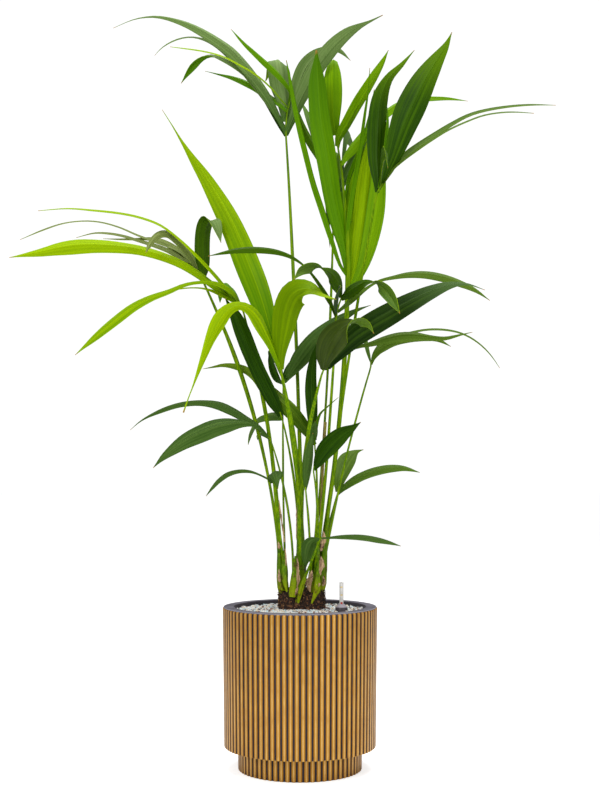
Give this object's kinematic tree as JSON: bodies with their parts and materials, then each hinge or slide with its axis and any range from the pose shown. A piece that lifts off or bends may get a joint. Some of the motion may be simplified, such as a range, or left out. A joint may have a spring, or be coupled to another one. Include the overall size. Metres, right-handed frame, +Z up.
{
  "type": "kentia palm in a ribbed planter",
  "caption": "Potted kentia palm: a clump of arching pinnate fronds on long bare stalks, in a tall round ribbed planter with a footed base and a water level gauge.",
  "frame": {"origin": "middle of the planter's flat underside, on the floor", "axes": "+Z up, -Y towards the front as pictured, +X to the right as seen from the front"},
  "size_m": [1.0826, 0.8007, 1.5132],
  "materials": {
    "planter": "satin gold paint on ribs, worn dark in the grooves",
    "gravel": "matt",
    "soil": "matt, crumbly",
    "gauge_cap": "satin",
    "gauge_tube": "frosted",
    "stem": "fibrous, dry sheaths",
    "stalk": "smooth, slightly waxy",
    "old_stalk": "dry",
    "frond": "satin leaf"
  },
  "bodies": {
    "root": {"planter": "planter", "gravel": "gravel", "root_ball": "soil", "gauge_cap": "gauge_cap", "gauge_tube": "gauge_tube", "stem_left": "stem", "stem_front": "stem", "stem_middle": "stem", "stem_inner": "stem", "stem_right": "stem", "stalk_left_back": "stalk", "frond_left_back": "frond", "stalk_left_front": "stalk", "frond_left_front": "frond", "stalk_middle_back": "stalk", "frond_middle_back": "frond", "stalk_inner_back": "stalk", "frond_inner_back": "frond", "stalk_middle_front": "stalk", "frond_middle_front": "frond", "stalk_small_left": "stalk", "frond_small_left": "frond", "stalk_low_left": "stalk", "frond_low_left": "frond", "stalk_top": "stalk", "frond_top": "frond", "stalk_upright": "stalk", "frond_upright": "frond", "stalk_right_front": "stalk", "frond_right_front": "frond", "stalk_far_back": "stalk", "frond_far_back": "frond", "stalk_centre_front": "stalk", "frond_centre_front": "frond", "stalk_broad_right": "stalk", "frond_broad_right": "frond", "stalk_arching_right": "stalk", "frond_arching_right": "frond", "stalk_low_right": "stalk", "frond_low_right": "frond", "stalk_lowest": "stalk", "frond_lowest": "frond", "stalk_left_shoot": "stalk", "frond_left_shoot": "frond", "stalk_right_shoot": "stalk", "frond_right_shoot": "frond", "stalk_short_dark": "stalk", "frond_short_dark": "frond", "stalk_old_stub": "old_stalk"}
  },
  "joints": []
}
